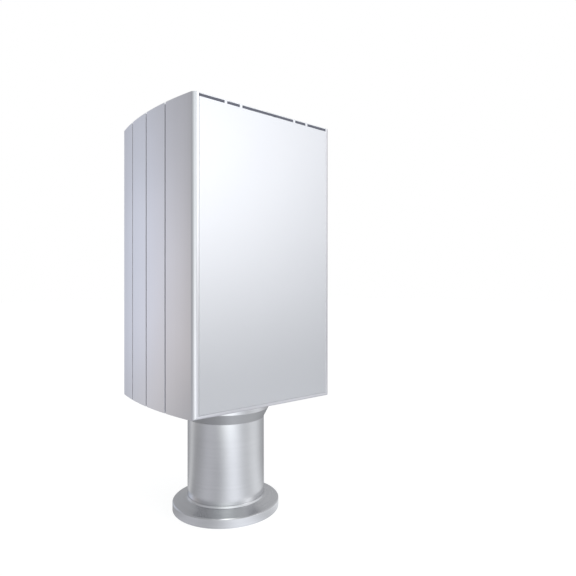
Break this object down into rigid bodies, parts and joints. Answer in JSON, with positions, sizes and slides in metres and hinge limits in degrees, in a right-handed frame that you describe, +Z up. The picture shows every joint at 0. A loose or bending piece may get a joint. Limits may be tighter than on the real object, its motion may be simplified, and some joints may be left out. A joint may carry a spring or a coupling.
{
  "type": "hot cathode ionization gauge",
  "caption": "Vacuum gauge with a clamp flange and a steel sensor tube under a tall grooved aluminium housing; a hot cathode, wound anode grid and ion collector inside.",
  "frame": {"origin": "centre of the flange's sealing face, on the gauge axis", "axes": "+Z up the gauge axis from flange to connector, +X to the right along the front face, +Y to the back"},
  "size_m": [0.0632, 0.0555, 0.1484],
  "materials": {
    "housing_aluminium": "fine blasted and clear anodised",
    "cover_aluminium": "brushed sheet, clear anodised",
    "panel_foil": "silver-white printed foil, satin",
    "panel_print": "dark slate print",
    "flange_steel": "turned stainless steel",
    "tube_steel": "fine turned and brushed stainless steel",
    "inner_steel": "plain turned steel",
    "screw_steel": "bright zinc",
    "shell_tin": "tinned sheet steel",
    "contact_gold": "gold flash over brass",
    "nut_brass": "nickel-plated brass",
    "connector_black": "black moulded plastic",
    "gasket_rubber": "black rubber",
    "sealing_glass": "dark green sintered glass",
    "pin_alloy": "nickel-iron alloy",
    "grid_molybdenum": "drawn molybdenum wire",
    "cathode_oxide": "white oxide coat on wire",
    "collector_tungsten": "drawn tungsten wire",
    "board_green": "solder mask over glass laminate",
    "strip_black": "black header strip",
    "can_tin": "tinned steel can",
    "capacitor_sleeve": "dark blue shrink sleeve",
    "core_ferrite": "sintered ferrite",
    "coil_tape": "yellow tape over copper",
    "chip_black": "black moulded packages"
  },
  "bodies": {
    "root": {"housing": "housing_aluminium", "front_panel": "panel_foil", "front_panel_marks": "panel_print", "top_cover": "cover_aluminium", "top_cover_screws": "screw_steel", "bottom_cover": "cover_aluminium", "bottom_cover_screws": "screw_steel", "connector_shell": "shell_tin", "connector_insulator": "connector_black", "connector_contacts": "contact_gold", "connector_jack_screws": "screw_steel", "connector_clinch_nuts": "nut_brass", "port_flange": "flange_steel", "sensor_tube": "tube_steel", "tube_gasket": "gasket_rubber", "clamp_ring": "inner_steel", "clamp_ring_screws": "screw_steel", "feedthrough_header": "inner_steel", "glass_seals": "sealing_glass", "feedthrough_pins": "pin_alloy", "anode_grid": "grid_molybdenum", "grid_rods": "grid_molybdenum", "cathode_filaments": "cathode_oxide", "filament_posts": "pin_alloy", "ion_collector": "collector_tungsten", "main_board": "board_green", "power_board": "board_green", "sensor_board": "board_green", "top_board": "board_green", "pin_sockets": "contact_gold", "board_connectors": "strip_black", "electrometer_can": "can_tin", "power_capacitors": "capacitor_sleeve", "transformer_core": "core_ferrite", "transformer_coil": "coil_tape", "main_board_chips": "chip_black"}
  },
  "joints": []
}
